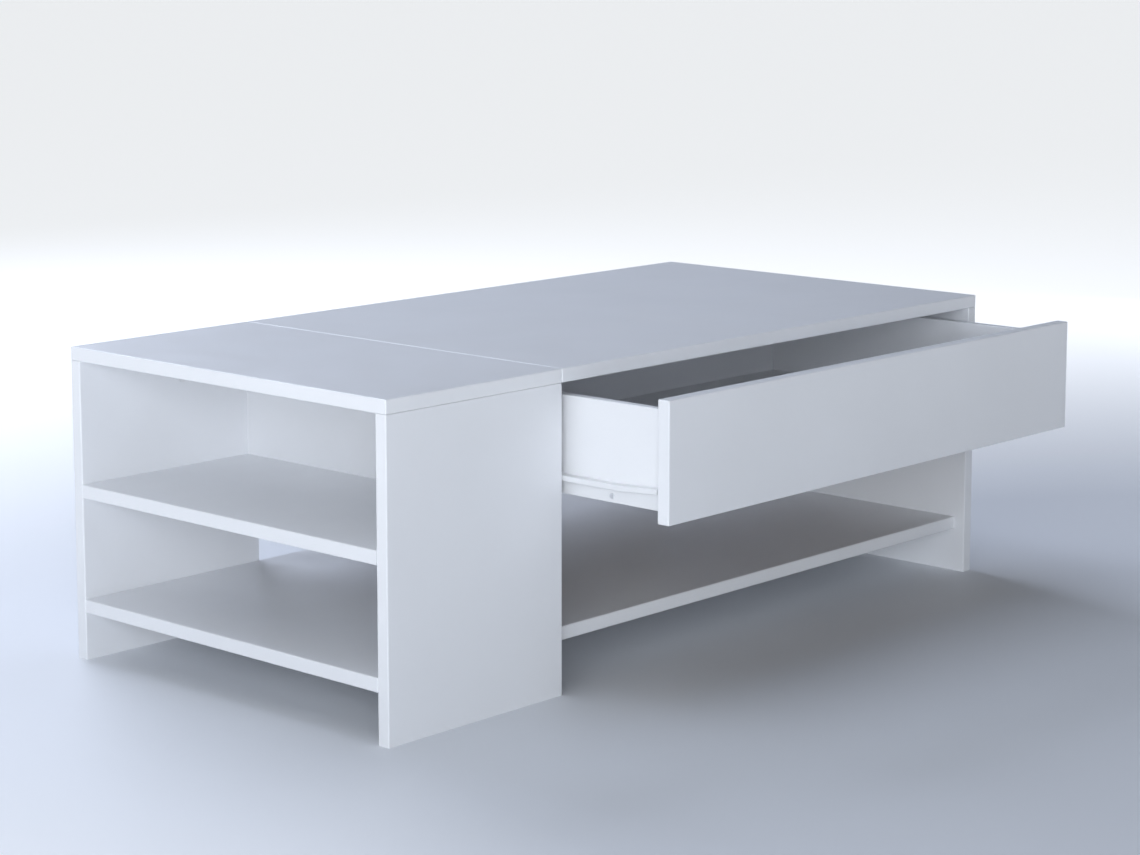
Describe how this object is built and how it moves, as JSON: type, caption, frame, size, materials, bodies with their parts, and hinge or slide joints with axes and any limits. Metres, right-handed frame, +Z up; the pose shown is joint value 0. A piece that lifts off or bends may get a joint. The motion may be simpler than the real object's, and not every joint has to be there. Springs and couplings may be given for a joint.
{
  "type": "coffee table",
  "caption": "Low white faced-board coffee table: an open-ended bay with two shelves beside a wide drawer on roller runners above an open shelf.",
  "frame": {"origin": "on the floor under the centre of the table's box with the drawer open 151 mm, as it stands at rest", "axes": "+X along the length from the open-ended bay to the drawer bay, +Y from the drawer side to the back, +Z up"},
  "size_m": [1.06, 0.671, 0.366],
  "materials": {
    "faced_board": "white melamine facing, satin",
    "edge_band": "white ABS banding, satin",
    "drawer_board": "white foil wrap, satin",
    "bottom_sheet": "white lacquered fibreboard",
    "runner_steel": "white epoxy powder coat",
    "roller_plastic": "natural nylon",
    "pin_steel": "bright zinc plated",
    "lock_zinc": "die-cast zinc",
    "bolt_steel": "bright zinc plated",
    "cap_plastic": "white moulded",
    "dowel_wood": "plain beech",
    "bracket_steel": "bright zinc plated",
    "screw_steel": "bright zinc plated"
  },
  "bodies": {
    "cabinet": {"left_top_panel": "faced_board", "right_top_panel": "faced_board", "front_side_panel": "faced_board", "back_side_panel": "faced_board", "right_end_panel": "faced_board", "bottom_shelf": "faced_board", "middle_shelf": "faced_board", "drawer_divider": "faced_board", "back_rail": "faced_board", "left_top_edge_bands": "edge_band", "right_top_edge_bands": "edge_band", "side_panel_edge_bands": "edge_band", "end_panel_edge_bands": "edge_band", "bottom_shelf_edge_bands": "edge_band", "middle_shelf_edge_bands": "edge_band", "back_rail_edge_band": "edge_band", "left_cabinet_runner": "runner_steel", "right_cabinet_runner": "runner_steel", "front_roller_pins": "pin_steel", "cam_locks": "lock_zinc", "cam_bolts": "bolt_steel", "cam_cover_caps": "cap_plastic", "wood_dowels": "dowel_wood", "corner_brackets": "bracket_steel", "bracket_screws": "screw_steel", "cabinet_runner_screws": "screw_steel"},
    "drawer": {"drawer_front": "faced_board", "drawer_front_edge_bands": "edge_band", "drawer_left_side": "drawer_board", "drawer_right_side": "drawer_board", "drawer_back": "drawer_board", "drawer_bottom": "bottom_sheet", "drawer_box_edge_bands": "edge_band", "drawer_cam_bolts": "bolt_steel", "drawer_cam_locks": "lock_zinc", "drawer_dowels": "dowel_wood", "drawer_back_screws": "screw_steel", "left_drawer_runner": "runner_steel", "right_drawer_runner": "runner_steel", "drawer_runner_screws": "screw_steel", "rear_roller_pins": "pin_steel"},
    "front_left_wheel": {"front_left_roller": "roller_plastic"},
    "front_right_wheel": {"front_right_roller": "roller_plastic"},
    "rear_left_wheel": {"rear_left_roller": "roller_plastic"},
    "rear_right_wheel": {"rear_right_roller": "roller_plastic"}
  },
  "joints": [
    {"name": "drawer_slide", "type": "slide", "parent": "cabinet", "child": "drawer", "axis": [0, -1, 0], "range_m": [-0.151, 0.179]},
    {"name": "front_left_spin", "type": "hinge", "parent": "cabinet", "child": "front_left_wheel", "pos_m": [-0.2589, -0.1545, 0.2366], "axis": [1, 0, 0], "continuous": true},
    {"name": "front_right_spin", "type": "hinge", "parent": "cabinet", "child": "front_right_wheel", "pos_m": [0.5079, -0.1545, 0.2366], "axis": [1, 0, 0], "continuous": true},
    {"name": "rear_left_spin", "type": "hinge", "parent": "drawer", "child": "rear_left_wheel", "pos_m": [-0.2583, 0.1165, 0.2373], "axis": [1, 0, 0], "continuous": true},
    {"name": "rear_right_spin", "type": "hinge", "parent": "drawer", "child": "rear_right_wheel", "pos_m": [0.5073, 0.1165, 0.2373], "axis": [1, 0, 0], "continuous": true}
  ],
  "couplings": [
    {"joint": "front_left_spin", "follows": "drawer_slide", "rad_per_m": 111.11},
    {"joint": "front_right_spin", "follows": "drawer_slide", "rad_per_m": 111.11},
    {"joint": "rear_left_spin", "follows": "drawer_slide", "rad_per_m": 100},
    {"joint": "rear_right_spin", "follows": "drawer_slide", "rad_per_m": 100}
  ]
}
